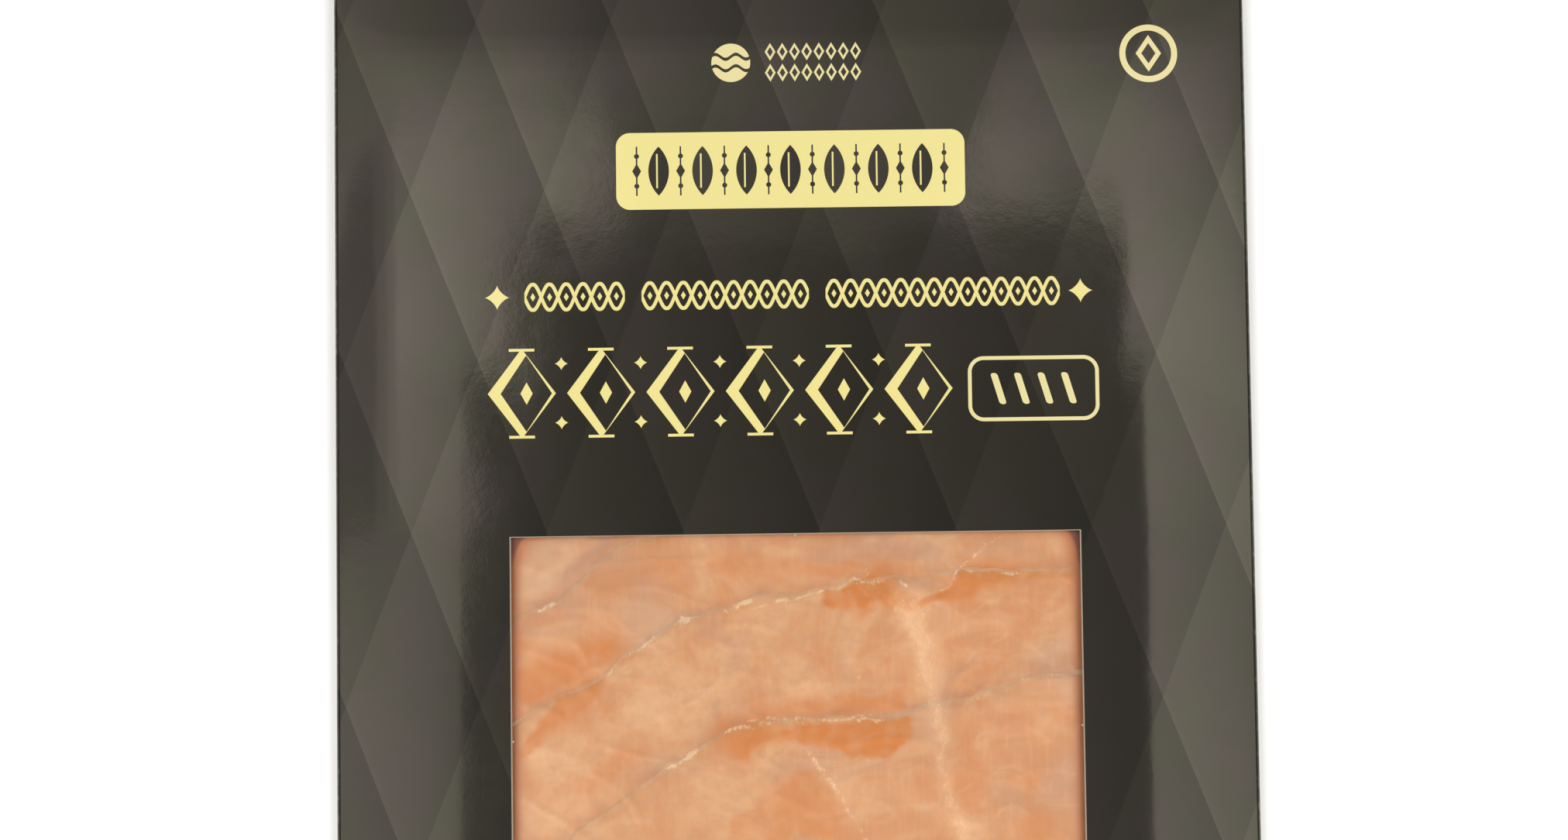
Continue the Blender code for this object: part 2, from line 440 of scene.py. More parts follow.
# What is printed, in millimetres on the front: middle (x, y) and size (width, height)
printed = {
    "ink": (0.047, 0.0435, 0.0315, 1),
    "inkDrift": (0.0505, 0.0425, 0.0355, 1),
    "yellow": (0.595, 0.525, 0.205, 1),
    "paleYellow": (0.57, 0.50, 0.25, 1),
    "lozengeSize": (24.3, 61.4),   # the tone-on-tone pattern
    "lozengeCorner": (4.3, 81.0),
    "lozengeDepth": 0.6,
    "rubbed": (0.32, 0.30, 0.27, 1),
    "roughness": 0.07,
    "tooth": 0.007,                # heights of the laminate's fine and broad unevenness
    "peel": 0.02,
    "emblemAt": (-10.5, 103.7),
    "ringAt": (64.8, 104.5),
    "labelAt": (0, 84.2),
    "labelSize": (62.7, 13.9),
    "lineY": 61.7,
    "rowAt": (-13.1, 44.4),
    "rowSize": (85.2, 16.1),
    "badgeAt": (43.0, 44.2),
    "badgeSize": (22.8, 11),
    "footY": -110.5,
    "sprigAt": (61.5, -60.5),
}


def boxEdge(x, y, width, height, radius=0):
    # distance from a rounded box's outline, less than 0 inside
    inX, inY = abs(x) - (width / 2 - radius), abs(y) - (height / 2 - radius)
    outside = (inX.most(0) ** 2 + inY.most(0) ** 2) ** 0.5
    return outside + inX.most(inY).least(0) - radius


def discEdge(x, y, radius):
    return (x * x + y * y) ** 0.5 - radius


def lozengeEdge(x, y, width, height):
    slope = math.hypot(2 / width, 2 / height)
    return (abs(x) * (2 / width) + abs(y) * (2 / height) - 1) / slope


def leafEdge(x, y, width, height):
    # an upright leaf between two arcs
    radius = (width ** 2 + height ** 2) / (4 * width)
    return discEdge(abs(x) + (radius - width / 2), y, radius)


def starEdge(x, y, size):
    return (abs(x) ** 0.72 + abs(y) ** 0.72 - (size / 2) ** 0.72) * 0.8


def inside(distance, blur=0.045):
    return 1 - distance.between(-blur, blur)


def repeated(x, pitch):
    return (x + pitch / 2) % pitch - pitch / 2


def twistEdge(x, v, groups):
    # two strands that cross every few millimetres, in groups of (middle, half length)
    half = 3.0
    strand = (x * (math.pi / half)).sine()
    steep = (1 + 5.5 * (1 - strand * strand)) ** 0.5
    strands = abs(abs(v) - abs(strand) * 2.3) / steep - 0.32
    pips = lozengeEdge(repeated(x - half / 2, half), v, 0.9, 1.5)
    ends = None
    for middle, length in groups:
        end = abs(x - middle) - length
        ends = end if ends is None else ends.least(end)
    return strands.least(pips).most(ends)


def labelMask(x, y):
    # a yellow plate with dark leaves, hairlines and pearls left out of it
    width, height = printed["labelSize"]
    plate = inside(boxEdge(x, y, width, height, 2.5))
    pitch = 7.9
    u = repeated(x, pitch)
    leaves = leafEdge(u, y, 3.7, 8.9).most(-1 * boxEdge(u + 0.3, y, 0.3, 6.2))
    between = abs(u) - pitch / 2
    hairlines = boxEdge(between, y, 0.28, 8.9)
    pearls = lozengeEdge(between, y, 1.6, 2.8).least(discEdge(between, abs(y) - 2.7, 0.45))
    ornament = leaves.least(hairlines).least(pearls).most(abs(x) - 3.5 * pitch - 1.2)
    return plate * (1 - inside(ornament))


def rowEdge(x, y):
    # six tall lozenges, heavy on one side, with small stars between them
    width, height = printed["rowSize"]
    pitch = width / 6
    u = repeated(x - pitch / 2, pitch)
    hollow = lozengeEdge(u - 0.8, y, 9.2, 13.7)
    lozenges = lozengeEdge(u, y, 12.2, height).most(-1 * hollow)
    lozenges = lozenges.least(lozengeEdge(u - 0.85, y, 2.2, 4.0))
    serifs = boxEdge(u, abs(y) - height / 2 + 0.25, 4.6, 0.5)
    stars = starEdge(abs(u) - pitch / 2, abs(y) - 5.3, 2.4).most(abs(x) - 2.5 * pitch - 1.5)
    return lozenges.least(serifs).least(stars).most(abs(x) - width / 2)


def badgeEdge(x, y):
    width, height = printed["badgeSize"]
    outline = abs(boxEdge(x, y, width, height, 2.5)) - 0.34
    u = x + 0.3 * y
    bars = boxEdge(repeated(u - 2.1, 4.2), y, 1.25, 5.6, 0.5).most(abs(u) - 8.2)
    return outline.least(bars)


def emblemEdge(x, y):
    # a disc cut by two waves, and two rows of small lozenges beside it
    disc = discEdge(x, y, 3.5)
    for shift in (-1.0, 1.1):
        disc = disc.most(0.3 - abs(y - shift - 0.45 * (x * 1.7).sine()))
    u = x - 14.8
    row = abs(lozengeEdge(repeated(u - 1.1, 2.2), abs(y) - 1.9, 1.5, 2.5)) - 0.19
    return disc.least(row.most(abs(u) - 8.8))


def ringEdge(x, y):
    ring = abs(discEdge(x, y, 4.7)) - 0.55
    return ring.least(abs(lozengeEdge(x, y, 3.6, 5.2)) - 0.42)


def sprigEdge(x, y):
    # fine leaves rising from both sides of a bowed stem
    length, lean = 25.2, math.radians(21)
    along = x * math.sin(lean) + y * math.cos(lean)
    side = x * math.cos(lean) - y * math.sin(lean)
    side = side - 0.009 * along * (length - along)
    left = (1 - along / length).most(0.02) ** 0.7
    fronds = abs(repeated(along - abs(side) * 1.1, 2.6)) / 1.5 - 0.42 * left - 0.12
    fronds = fronds.most(abs(side) - 5.4 * left).most(3.5 - along + abs(side) * 1.1)
    stem = abs(side) - 0.22
    return fronds.least(stem).most(abs(along - length / 2) - length / 2)


def printMasks(x, y):
    # the yellow print, and the smaller print in a paler yellow
    def away(place):
        return x - place[0], y - place[1]

    v = y - printed["lineY"]
    yellow = twistEdge(x, v, ((-39, 9), (-12, 15), (27, 21)))
    yellow = yellow.least(starEdge(abs(x + 0.6) - 52.3, v, 4.4))
    yellow = yellow.least(rowEdge(*away(printed["rowAt"])))
    pale = badgeEdge(*away(printed["badgeAt"])).least(emblemEdge(*away(printed["emblemAt"])))
    pale = pale.least(ringEdge(*away(printed["ringAt"])))
    pale = pale.least(sprigEdge(*away(printed["sprigAt"])))
    v = y - printed["footY"]
    pale = pale.least(twistEdge(x, v, ((0, 21),))).least(starEdge(abs(x) - 27, v, 4.4))
    return labelMask(*away(printed["labelAt"])).most(inside(yellow)), inside(pale)


def cardFinish():
    gloss = {"Specular_IOR_Level": 0.3, "Coat_Weight": 0.15, "Coat_Roughness": 0.3}
    card = Finish("printed_laminate", **gloss)
    x, y, places = card.x, card.y, card.places
    front = card.z.between(3.0, 3.2)   # only the front panel carries the yellow print
    yellow, pale = [mask * front for mask in printMasks(x, y)]

    # each lozenge of the tone-on-tone pattern fades from its left corner to its right one
    cornerX, cornerY = printed["lozengeCorner"]
    width, height = printed["lozengeSize"]
    across, along = (x - cornerX) / width, (y - cornerY) / height
    rising, falling = (across + along) % 1, (across - along) % 1
    fade = 0.6 * rising + 0.4 * falling + 0.12 * rising.between(0, 0.05)
    tone = 1 + printed["lozengeDepth"] * (0.56 - fade)
    tone = tone * (0.94 + 0.12 * places.grain(60, 2))

    # the folds are rubbed paler here and there
    toFold = (halfWidth / mm - abs(x)).least(halfLength / mm - abs(y))
    atFold = (1 - toFold.between(0.1, 0.8)) * abs(card.z - 2.1).between(1.5, 1.9)
    rubbed = atFold * places.grain(700, 4).between(0.5, 0.72)
    drift = places.grain(55, 2).between(0.42, 0.62)
    ink = drift.blend(printed["ink"], printed["inkDrift"])
    dark = ink.node("ShaderNodeVectorMath", {"operation": "SCALE"}, {0: ink, "Scale": tone})
    colour = (rubbed * 0.35).blend(dark, printed["rubbed"])
    colour = yellow.blend(pale.blend(colour, printed["paleYellow"]), printed["yellow"])
    cover = yellow.most(pale)
    card.feed(Base_Color=colour, Metallic=0.8 * (1 - cover))
    card.feed(Roughness=printed["roughness"] + 0.035 * places.grain(300, 1) + 0.3 * rubbed)
    tooth = printed["tooth"] * places.grain(450, 3, 0.7)
    card.bump(tooth + printed["peel"] * places.grain(90, 1))
    return card


rawBoard = {"dark": (0.20, 0.175, 0.135, 1), "light": (0.36, 0.32, 0.26, 1), "roughness": 0.85}


def boardFinish():
    board = Finish("raw_board", Roughness=rawBoard["roughness"])
    fibres = board.places.stretched(1, 1, 3).grain(2500, 4, 0.7)
    board.feed(Base_Color=fibres.blend(rawBoard["dark"], rawBoard["light"]))
    board.bump(0.03 * fibres)
    return board


board = boardFinish()
card = makeSleeve([cardFinish(), board])
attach(card, "root")
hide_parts("card_sleeve")
print("card folded and printed")


# Torn nicks, where the die left the window's blank hanging. Each spot is in millimetres across and
# down from the window's head left corner, then the direction into the window.
nicks = {
    "spots": ((51, 0, 0, -1), (0, 36.4, 1, 0), (102, 34.8, -1, 0), (0, 76, 1, 0),
              (102, 75, -1, 0), (51, 112, 0, 1)),
    "width": 0.55 * mm,
    "reach": 0.42 * mm,
    "thick": 0.3 * mm,
    "under": 0.3 * mm,   # below the panel's face
    # of half the width and of the reach, from one side of the root around the tip to the other
    "outline": ((-1, -0.4), (1, -0.4), (0.75, 0.5), (0.2, 1), (-0.55, 0.6)),
    "uneven": 0.35,
    "tipThin": 0.5,
}


def makeNicks(finish):
    verts, faces = [], []
    corners = len(nicks["outline"])
    for number, (across, down, inX, inY) in enumerate(nicks["spots"]):
        x = across * mm - window["width"] / 2
        y = window["head"] - down * mm
        z = panelHeight(x, y) - nicks["under"]
        first = len(verts)
        for level in (0, 1):
            for k, (side, reach) in enumerate(nicks["outline"]):
                torn = 1 + nicks["uneven"] * noise.noise((number * 3.7, k * 1.9, level * 2.3))
                along, out = side * nicks["width"] / 2 * torn, reach * nicks["reach"] * torn
                out += sleeve["cutBevels"][0]
                thin = nicks["thick"] * (nicks["tipThin"] if reach > 0 else 1)
                verts.append((x + inX * out + inY * along, y + inY * out - inX * along,
                              z - thin * (1 - level)))
        above = first + corners
        for k in range(corners):
            after = (k + 1) % corners
            faces.append((first + k, first + after, above + after, above + k))
        faces.append(tuple(range(above - 1, first - 1, -1)))
        faces.append(tuple(range(above, above + corners)))
    return newPiece("window_nicks", verts, faces, [finish])


tornNicks = makeNicks(board)
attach(tornNicks, "root")
print("nicks torn")


# The salmon slices, shingled with their head edges on the slice above
slices = {
    "halfWidth": 62 * mm,
    "level": 5.7 * mm,
    "crown": 0.6 * mm,
    "edge": 0.28 * mm,       # how far at most a head edge stands above the slice that it lies on
    "edgeLeast": 0.03,       # of that, where it is pressed flattest
    "edgeUneven": (0.2, 0.6),
    "edgeSize": 10 * mm,
    "reach": 1.15,           # a slice sinks under the next one over this share of its length
    "bed": 2.8 * mm,         # the lowest that a slice's underside lies
    "under": 2.5 * mm,       # where it would end up
    "gap": 0.3 * mm,         # between two slices
    "clear": 0.03 * mm,      # the same at a head edge
    "gapOpens": 0.15,        # over this share of a slice's length
    "tail": (0.08, 0.2, 0.35, 0.5, 0.6, 0.7),
    "bottomSteps": (0, 0.08, 0.2, 0.45, 0.7, 1),
    "steps": (0.42 * mm, 1.6 * mm),   # fine where it shows, coarse behind the card
    "lip": 1.5 * mm,         # the rounding of a head edge
    "reliefEase": 2.5 * mm,
    "lipAngles": (0, 16, 28, 40, 52, 64, 78),
    "ragged": ((0.6 * mm, 9 * mm), (0.3 * mm, 2.8 * mm), (0.13 * mm, 1.0 * mm)),
    "relief": ((0.10 * mm, 11 * mm), (0.05 * mm, 3.2 * mm), (0.02 * mm, 1.1 * mm)),
}
# Head edge of each slice and the foot of the last, in millimetres from side to side
headEdges = (
    ((-62, 34), (0, 36), (62, 38)),
    ((-62, 0), (-43, 8), (-31, 17.5), (0, 24), (62, 27)),
    ((-62, -20), (-37, -6.5), (-22, 3.2), (0, 9), (30, 11.5), (62, 12)),
    ((-62, -49), (-42.6, -35.7), (-21.6, -21.1), (-8, -14.5), (20, -12.8), (36, -8.5), (62, -4)),
    ((-62, -78), (-42, -66), (-15, -52), (10, -45), (35, -43), (62, -36)),
    ((-62, -99), (-40, -92), (-12, -81), (15, -75), (40, -72), (62, -66)),
    ((-62, -107), (0, -108), (62, -106)),
)


def lineAt(points, x):
    # the smooth line through points, at the places x
    xs, ys = (np.array(points) * mm).T
    after, before = np.r_[1:len(xs), len(xs) - 1], np.r_[0, 0:len(xs) - 1]
    slopes = (ys[after] - ys[before]) / (xs[after] - xs[before])
    k = np.clip(np.searchsorted(xs, x, "right") - 1, 0, len(xs) - 2)
    width = xs[k + 1] - xs[k]
    t = (x - xs[k]) / width
    start = ys[k] * (1 + 2 * t) * (1 - t) ** 2 + slopes[k] * width * t * (1 - t) ** 2
    end = ys[k + 1] * t * t * (3 - 2 * t) + slopes[k + 1] * width * t * t * (t - 1)
    return start + end


def headEdge(number, x):
    line = lineAt(headEdges[number], x)
    for deep, size in slices["ragged"]:
        line = line + deep * ripples(x, np.zeros_like(x), size, 11.3 + number * 5.1)
    return line


def edgeHeight(number, x):
    if number == 0:
        return np.zeros_like(x)
    seed = 50.3 + number * 2.7
    raised = patches(x, np.zeros_like(x), slices["edgeSize"], seed, *slices["edgeUneven"])
    least = slices["edgeLeast"]
    return slices["edge"] * (least + (1 - least) * raised)


def slicesLevel(x, y):
    head, foot = headEdges[0][0][1] * mm, headEdges[-1][0][1] * mm
    along = (2 * y - head - foot) / (head - foot)
    arch = (1 - (x / slices["halfWidth"]) ** 2) * np.maximum(1 - along ** 2, 0)
    return slices["level"] + slices["crown"] * arch


def underSlice(x, y, step):
    fall = np.minimum(step / slices["reach"], 1)
    level = slicesLevel(x, y)
    return level + (slices["under"] - level) * np.sin(fall * math.pi / 2)


# Marks in the flesh, in millimetres across and down from the window's head left corner: each has
# a strength, then a stroke through points (across, down, half width)
brownMarks = (
    (1.0, (58, 11.5, 1.6), (62, 12, 2.2), (65.5, 9.8, 3.4), (68.5, 12, 2.3), (73, 13, 0.9),
     (77.5, 11.4, 1.1), (80.5, 9.4, 2.6), (86, 8.4, 2.6), (89, 8.3, 1.6), (94, 8.4, 0.9),
     (101, 8.4, 0.8)),
    (1.0, (65.2, 8.5, 1.0), (65.6, 6.4, 0.6)),
    (0.95, (37.5, 34.8, 1.6), (41, 36.8, 3.0), (45, 35.6, 2.2), (50, 35, 1.2), (55.5, 36, 2.3),
     (61, 37, 3.2), (65.5, 36.8, 3.3), (69.5, 34.5, 1.7)),
    (0.6, (44, 32.4, 0.9), (51, 31, 1.7), (58, 31, 1.6), (64, 30.6, 1.3), (69, 30, 1.6),
     (70.4, 27.6, 0.8)),
    (0.75, (2, 26.5, 2.6), (8, 24, 3.4), (14, 21.7, 3.0), (19, 19.8, 1.8)),
    (0.75, (2, 38, 1.2), (8, 33, 1.9), (12, 29, 1.9), (15, 26.5, 1.3)),
    (0.45, (43, 54, 4.6), (48, 49, 4.6), (52, 45, 3.2), (55, 51, 4.2)),
    (0.4, (36, 5.6, 1.0), (44, 5.0, 1.9), (52, 5.8, 1.6), (60, 6.6, 0.9)),
    (0.3, (16, 9.5, 2.4), (24, 6.5, 2.2), (30, 4.5, 1.4)),
    (0.35, (81, 37, 1.4), (82, 44, 2.6), (81.5, 50, 2.0)),
    (0.35, (92, 44, 1.2), (94, 52, 2.4), (92, 58, 1.6)),
    (0.4, (84.6, 19.5, 0.3), (85.6, 24.5, 0.35), (88.6, 22.4, 0.25)),
    (0.3, (6, 47, 1.6), (14, 44, 2.4), (21, 39.5, 1.4)),
    (0.8, (20, 74, 2.2), (27, 71, 3.2), (34, 70, 2.2), (41, 66, 1.2)),
    (0.9, (58, 79, 1.2), (63, 77, 2.8), (70, 78, 3.2), (76, 76, 2.0), (83, 77, 1.1)),
    (0.5, (8, 99, 2.2), (15, 95, 2.8), (21, 94, 1.8)),
    (0.8, (46, 99, 1.2), (52, 97, 2.9), (60, 98, 2.4), (67, 96, 1.0)),
    (0.5, (88, 103, 2.4), (95, 101, 2.6), (100, 99, 1.6)),
)
seamMarks = (
    (1.0, (71.6, 13.5, 1.9), (73.2, 18, 1.7), (73.8, 23, 1.3), (74.8, 27.5, 0.5)),
    (0.85, (74.8, 27.5, 0.4), (75.4, 33, 1.2), (76.8, 38, 0.3), (77.4, 44, 0.4), (78.3, 49, 0.8),
     (80.3, 53, 1.0), (81, 60, 0.3), (80, 70, 0.6), (78.5, 82, 0.9), (79.5, 96, 0.4), (80, 110, 0.8)),
)
paleMarks = (
    (0.8, (50, 36.2, 0.1), (53, 38.6, 0.5), (56, 43, 0.5), (59, 48.2, 0.6), (62, 53, 0.5),
     (64.5, 58, 0.3)),
    (0.8, (40, 33.8, 0.1), (44, 32.9, 0.3), (51, 32.9, 0.4), (57, 33.4, 0.3), (63, 33, 0.4),
     (70.5, 32.6, 0.3)),
    (0.9, (43, 13.4, 0.2), (52, 11.4, 0.3), (58, 9.8, 0.5), (62, 8.6, 0.5), (64, 7, 0.2)),
    (0.6, (62, 9.4, 0.2), (66, 12.8, 0.3), (69, 15.4, 0.1)),
    (0.8, (70, 9.2, 0.3), (73, 11.2, 0.5), (77, 10.4, 0.3), (80, 6.4, 0.4), (84, 3.6, 0.4),
     (88, 1.4, 0.2)),
    (0.5, (90, 7.2, 0.2), (100, 7, 0.2)),
    (0.6, (88, 28.4, 0.2), (92, 26.8, 0.3), (99, 26.4, 0.2)),
    (0.4, (53, 15, 0.2), (57.5, 19.5, 0.3), (61, 24, 0.2)),
    (0.4, (85, 13, 0.2), (86, 18, 0.25), (87, 23, 0.2)),
    (0.4, (92, 13.5, 0.2), (93.5, 17, 0.3), (93, 21, 0.2)),
    (0.5, (3, 11.6, 0.3), (8, 9.6, 0.4), (13, 6.2, 0.2)),
    (0.5, (20, 23.5, 0.2), (26, 18.5, 0.4), (33, 14.8, 0.3)),
    (0.35, (83, 42, 0.2), (84.5, 48, 0.3), (84, 53, 0.2)),
    (0.6, (24, 79, 0.2), (32, 77, 0.4), (40, 78, 0.3), (46, 82, 0.2)),
    (0.7, (58, 81.6, 0.2), (66, 81, 0.4), (73, 81.5, 0.2)),
    (0.6, (30, 100, 0.3), (36, 96, 0.4), (41, 90, 0.2)),
    (0.5, (86, 88, 0.2), (92, 86, 0.4), (99, 87, 0.2)),
)
greyMarks = (
    (0.9, (17.4, 1.2, 1.0), (14.7, 2.9, 0.9), (12.7, 5.2, 0.7), (9.3, 6.9, 0.4)),
    (0.7, (42.4, 2.5, 0.5), (43, 3.4, 0.4)),
    (0.8, (36.6, 29.5, 0.2), (36.2, 32.5, 0.5), (36, 34.5, 0.3)),
    (0.7, (70, 9.6, 0.8), (75, 9.4, 1.0)),
    (0.5, (62, 3.6, 1.2), (70, 3.0, 1.8), (77, 2.6, 1.4)),
    (0.4, (35, 17, 1.4), (40, 19, 2.0), (40, 24, 1.4)),
    (0.7, (33, 86, 0.4), (34, 90, 0.6)),
)


# How the marks lie in the flesh: plain numbers are millimetres or shares
marking = {
    # ripples that fray the outlines: their size, and how far they shift them
    "ripples": ((5 * mm, 0.8), (2.2 * mm, 0.45), (0.9 * mm, 0.25)),
    "brownSoftness": (1.1, 3.4),     # at least, and how much more in places
    "paleSoftness": 0.7,
    "seamSoftness": 2.4,
    "seamVeil": (0.42, 4.6, 0.9),    # strength, softness and swell of the faint band around it
    "greySoftness": 1.6,
    "rim": (0.6, 0.8),               # how far in from the head edge, and how broad
    "beyond": (1.9, 0.8),            # the painted shade band past the rim
    "shadeReach": 3.2 * mm,          # before the next slice's edge
    # how far the painted shade in the crease under the next slice reaches
    "creaseReach": 0.8 * mm,
    "zigzag": (89, 0.55, 7.6, 0.3),  # where it turns, its slope, pitch and line width
    "zigzagFrom": (76, 5),           # where it starts, and over what length
    "windowShade": (2.0 * mm, 0.5 * mm, 2.6 * mm),   # reach of the painted shade under the window's sides, head and corners
    "windowShadeMost": 1.4,
}


def fromCorner(x, y):
    return x / mm + window["width"] / mm / 2, (window["head"] - y) / mm


def markDepth(x, y, marks, softness, swell=0.0):
    # how deep each place lies in the strokes, from 0 to their strength
    across, down = fromCorner(x, y)
    depth = np.zeros(x.shape)
    for strength, *stroke in marks:
        reach = np.full(x.shape, 99.0)
        for (x0, y0, r0), (x1, y1, r1) in zip(stroke, stroke[1:]):
            span = (x1 - x0) ** 2 + (y1 - y0) ** 2
            t = np.clip(((across - x0) * (x1 - x0) + (down - y0) * (y1 - y0)) / span, 0, 1)
            gap = np.hypot(across - x0 - t * (x1 - x0), down - y0 - t * (y1 - y0))
            reach = np.minimum(reach, gap - swell - r0 - t * (r1 - r0))
        depth = np.maximum(depth, strength * smooth(0.5 - reach / softness))
    return depth


def fleshMarks(x, y, fromEdge, toNext):
    # what a slice's points carry for its finish, each 0 to 1
    (broadSize, broadBy), (roughSize, roughBy), (fineSize, fineBy) = marking["ripples"]
    broad, rough = ripples(x, y, broadSize, 1.2), ripples(x, y, roughSize, 4.2)
    fine = ripples(x, y, fineSize, 9.6)
    warpX = x + (broadBy * broad + roughBy * rough + fineBy * fine) * mm
    shift = broadBy * ripples(x, y, broadSize, 6.4) + roughBy * ripples(x, y, roughSize, 7.1)
    warpY = y + shift * mm
    broken = np.clip(0.7 + 0.4 * rough + 0.35 * fine, 0, 1)
    least, more = marking["brownSoftness"]
    softness = least + more * patches(x, y, 9 * mm, 15.5, 0.4, 1)
    brown = markDepth(warpX, warpY, brownMarks, softness) * np.clip(0.9 + 0.3 * rough, 0.6, 1)
    nearX, nearY = (x + 2 * warpX) / 3, (y + 2 * warpY) / 3
    pale = markDepth(nearX, nearY, paleMarks, marking["paleSoftness"]) * broken
    flecks = 0.7 + 0.3 * smooth(0.5 + fine + 0.6 * rough)
    seam = 0.8 * markDepth(warpX, warpY, seamMarks, marking["seamSoftness"]) * flecks
    strength, veilSoftness, swell = marking["seamVeil"]
    veil = strength * markDepth(warpX, warpY, seamMarks, veilSoftness, swell)
    seam = np.maximum(seam, veil)
    grey = markDepth(warpX, warpY, greyMarks, marking["greySoftness"]) * broken

    # pale along the head edge; painted shade past it, before the next slice and in the crease under
    # it
    place, breadth = marking["rim"]
    rim = np.exp(-((fromEdge / mm - place - 0.5 * rough) / (breadth + 0.3 * broad)) ** 2)
    rim = rim * patches(x, y, 6 * mm, 2.8, 0.4, 1)
    shade = 1 - smooth(toNext / marking["shadeReach"])
    shade = shade * patches(x, y, 8 * mm, 3.9, 0.35, 0.9)
    place, breadth = marking["beyond"]
    beyond = np.exp(-((fromEdge / mm - place - 0.5 * rough) / breadth) ** 2)
    crease = np.exp(-toNext / marking["creaseReach"]) * patches(x, y, 6 * mm, 33.1, 0.1, 1.1)
    shade = np.maximum(shade, crease)
    shade = np.maximum(shade, 0.7 * beyond * patches(x, y, 7 * mm, 23.3, 0, 0.9))

    # faint zigzag of the muscle on the right of the seam, and painted shade under the window's sides,
    # head and corners, darkest in the corners
    across, down = fromCorner(x, y)
    turn, slope, pitch, line = marking["zigzag"]
    start, length = marking["zigzagFrom"]
    zigzag = (down - slope * np.abs(across - turn) + 0.9 * broad + 0.4 * rough) % pitch
    zigzag = np.exp(-((zigzag - pitch / 2) / line) ** 2) * smooth((across - start) / length)
    zigzag = zigzag * np.clip(broad + 0.2, 0, 1)
    toSide, toHead = window["width"] / 2 - np.abs(x), window["head"] - y
    sideReach, headReach, cornerReach = marking["windowShade"]
    side = np.exp(-(toSide / sideReach) ** 1.5)
    top = 0.6 * np.exp(-toHead / headReach)
    cornerShade = np.exp(-np.hypot(toSide, toHead) / cornerReach)
    windowShade = np.clip(side + top + 1.3 * cornerShade, 0, marking["windowShadeMost"]) / marking["windowShadeMost"]
    return {"brown": brown, "pale": pale, "seam": seam, "grey": grey, "rim": rim, "shade": shade,
            "zigzag": zigzag, "windowShade": windowShade}


def makeSlice(number, finish):
    half, lip, last = slices["halfWidth"], slices["lip"], len(headEdges) - 2
    shown = window["width"] / 2 + window["margin"]
    columns = fineBetween(-half, -shown, shown, half, slices["steps"])
    near, far = headEdge(number, columns), headEdge(number + 1, columns)
    beyond = headEdge(min(number + 2, last + 1), columns)
    edge = edgeHeight(number, columns)

    def level(y, step):
        return slicesLevel(columns, y) + edge * (1 - step)

    def underside(y, step):
        if number == 0:
            return np.full_like(y, slices["bed"])
        opened = smooth(step / slices["gapOpens"])
        apart = slices["clear"] + (slices["gap"] - slices["clear"]) * opened
        return underSlice(columns, y, step) + apart

    # rows of the top, from the head edge down and on under the next slice
    reaches = [lip * (1 - math.cos(math.radians(a))) for a in slices["lipAngles"]]
    count = math.ceil((np.mean(near - far) - lip) / slices["steps"][0])
    rows, fromEdge, toNext = [], [], []
    for k in range(len(reaches) + count + 1):
        if k < len(reaches):
            y = near - reaches[k]
        else:
            y = near - lip - (near - lip - far) * ((k - len(reaches)) / count)
        step = (near - y) / (near - far)
        foot = underside(y, step)
        rise = 0.1 + 0.9 * smooth((near - y) / lip * 0.85 + 0.08)
        seed = 30.7 + number * 3.3
        relief = sum(deep * ripples(columns, y, size, seed) for deep, size in slices["relief"])
        relief *= smooth((near - y) / lip) * smooth((y - far) / slices["reliefEase"])
        full = level(y, step)
        z = np.where(near - y < lip, foot + (full - foot) * rise, full) + relief
        rows.append((columns, y, z))
        fromEdge.append(near - y)
        toNext.append(y - far)
    if number < last:
        for step in slices["tail"]:
            y = far - (far - beyond) * step
            rows.append((columns, y, underSlice(columns, y, step)))
            fromEdge.append(near - y)
            toNext.append(np.zeros_like(y))
    top = len(rows)

    # rows of the underside, back from the tail to the head edge
    if number < last:
        for step in slices["tail"][::-2]:
            y = far - (far - beyond) * step
            rows.append((columns, y, np.full_like(y, slices["bed"])))
    for step in slices["bottomSteps"][::-1]:
        y = near - (near - far) * step
        rows.append((columns, y, underside(y, step)))
    verts = np.array(rows).transpose(0, 2, 1).reshape(-1, 3)
    wide = len(columns)
    faces = grid(len(rows), wide, flip=True)
    final = (len(rows) - 1) * wide
    faces += [(i, i + 1, final + i + 1, final + i) for i in range(wide - 1)]
    faces.append(tuple(j * wide for j in range(len(rows))))
    faces.append(tuple(j * wide + wide - 1 for j in range(len(rows) - 1, -1, -1)))
    item = newPiece(f"slice_{number + 1}", verts, faces, [finish], angle=50)

    xs, ys = verts[:top * wide, 0], verts[:top * wide, 1]
    marks = fleshMarks(xs, ys, np.ravel(fromEdge), np.ravel(toNext))
    if number == last:
        marks["shade"] *= 0
    for name, values in marks.items():
        padded = np.zeros(len(verts))
        padded[:len(values)] = values
        item.data.attributes.new(name, "FLOAT", "POINT").data.foreach_set("value", padded)
    return item


flesh = {
    "tan": (0.58, 0.333, 0.165, 1),
    "orange": (0.53, 0.24, 0.088, 1),
    "pink": (0.495, 0.252, 0.127, 1),
    "dusky": (0.455, 0.262, 0.155, 1),
    "brown": (0.53, 0.183, 0.026, 1),
    "pale": (0.76, 0.54, 0.335, 1),
    "grey": (0.41, 0.225, 0.15, 1),
    # the next two colours are painted shade: past the slices' head edges and under the window's edge,
    # and darkest in its corners
    "shade": (0.44, 0.155, 0.05, 1),
    "cornerShade": (0.20, 0.05, 0.025, 1),
    "glow": {"Subsurface_Weight": 0.2, "Subsurface_Scale": 1.2 * mm,
             "Subsurface_Radius": (1.0, 0.4, 0.2)},
}


